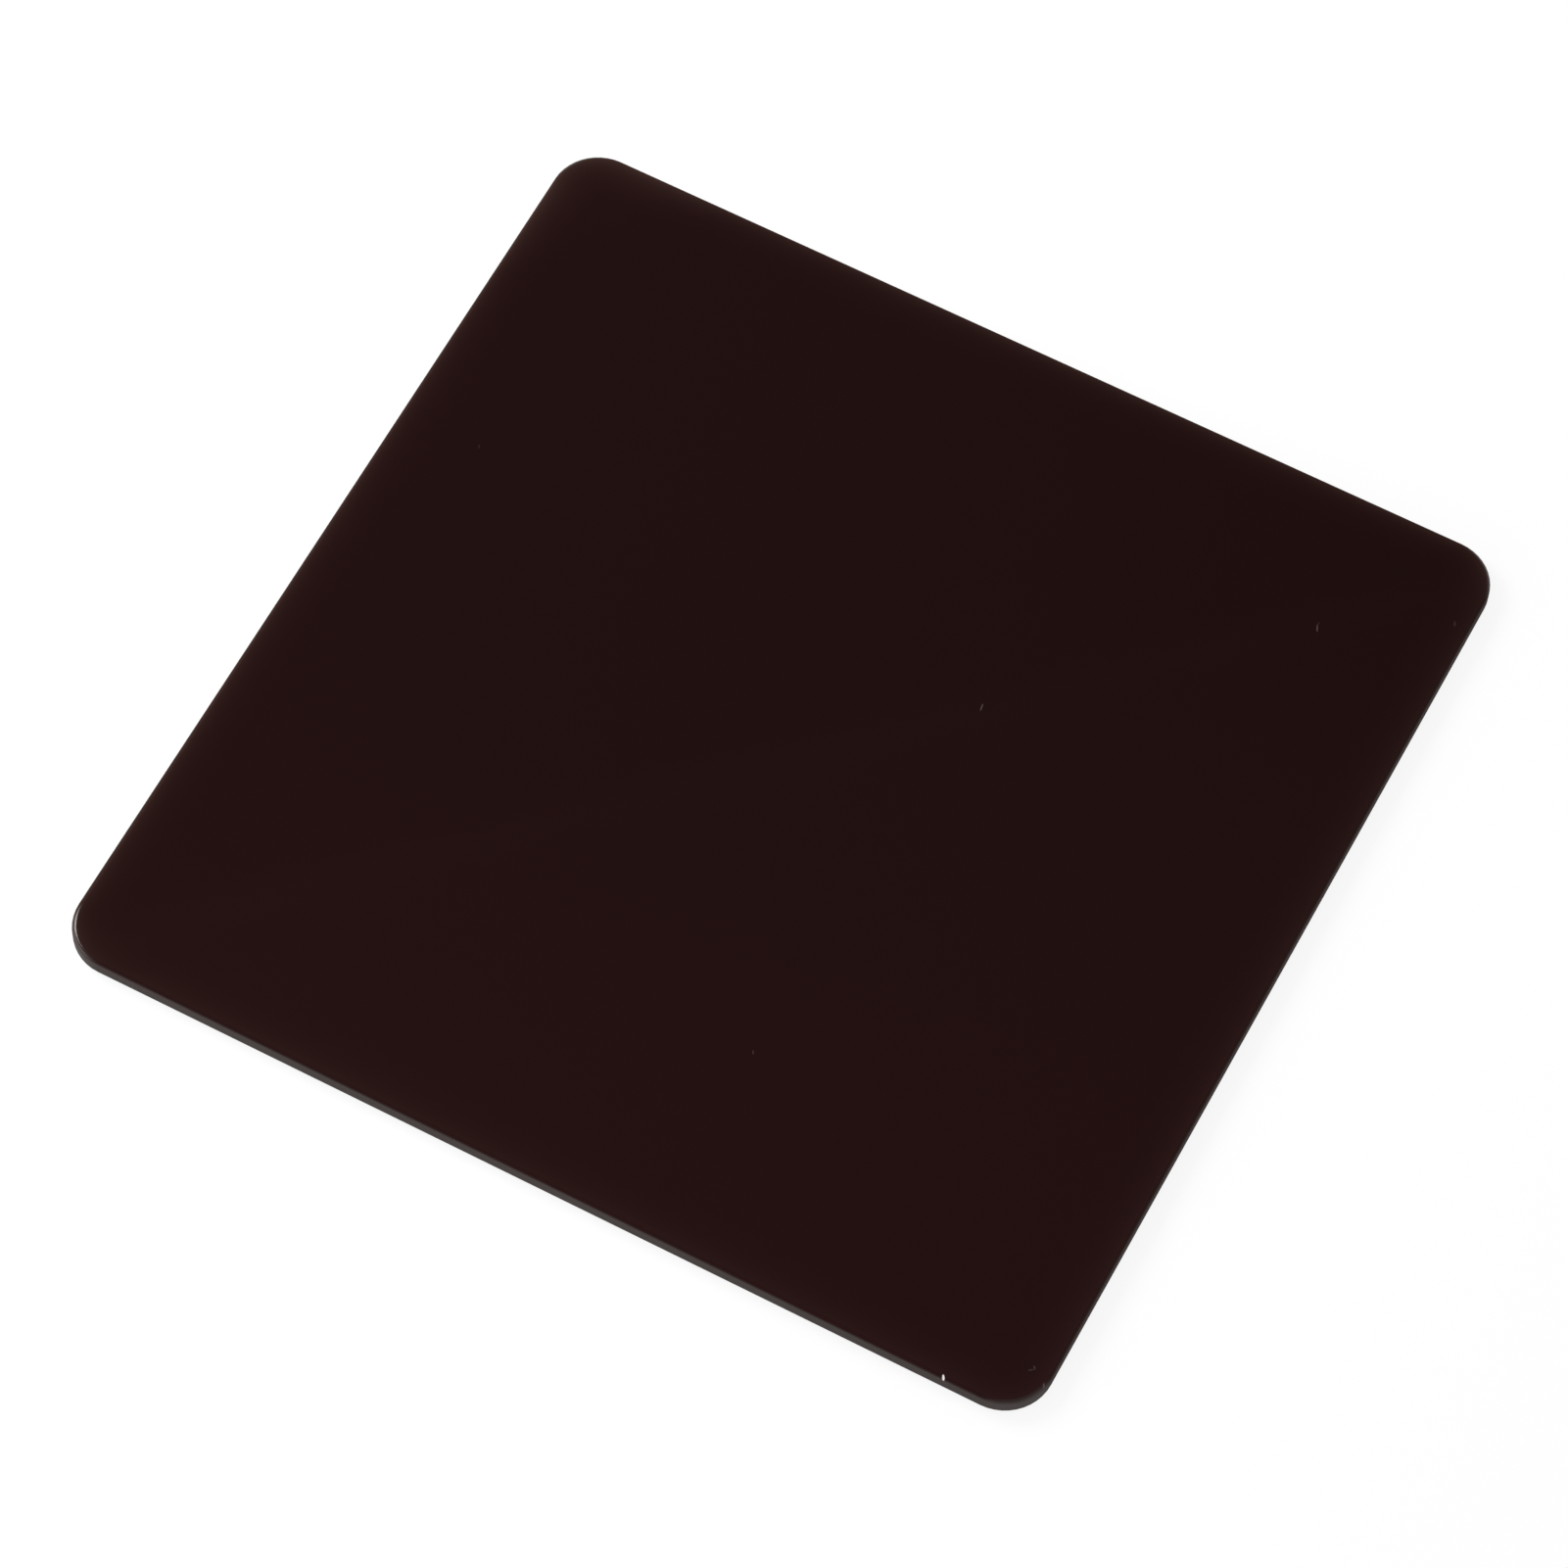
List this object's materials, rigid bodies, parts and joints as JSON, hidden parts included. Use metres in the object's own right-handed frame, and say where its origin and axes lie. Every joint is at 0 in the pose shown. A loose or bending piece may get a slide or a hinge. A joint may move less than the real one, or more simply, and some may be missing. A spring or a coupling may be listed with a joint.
{
  "type": "square neutral density filter",
  "caption": "Flat square plate of dark tinted glass with rounded corners that slides into a filter holder in front of a lens and dims the light.",
  "frame": {"origin": "middle of the rear face, where the lens axis crosses it", "axes": "+Z along the lens axis, out of the front face; X and Y along the plate's sides"},
  "size_m": [0.1, 0.1, 0.002],
  "materials": {
    "tinted_glass": "polished, dark reddish brown"
  },
  "bodies": {
    "root": {"filter_plate": "tinted_glass"}
  },
  "joints": []
}
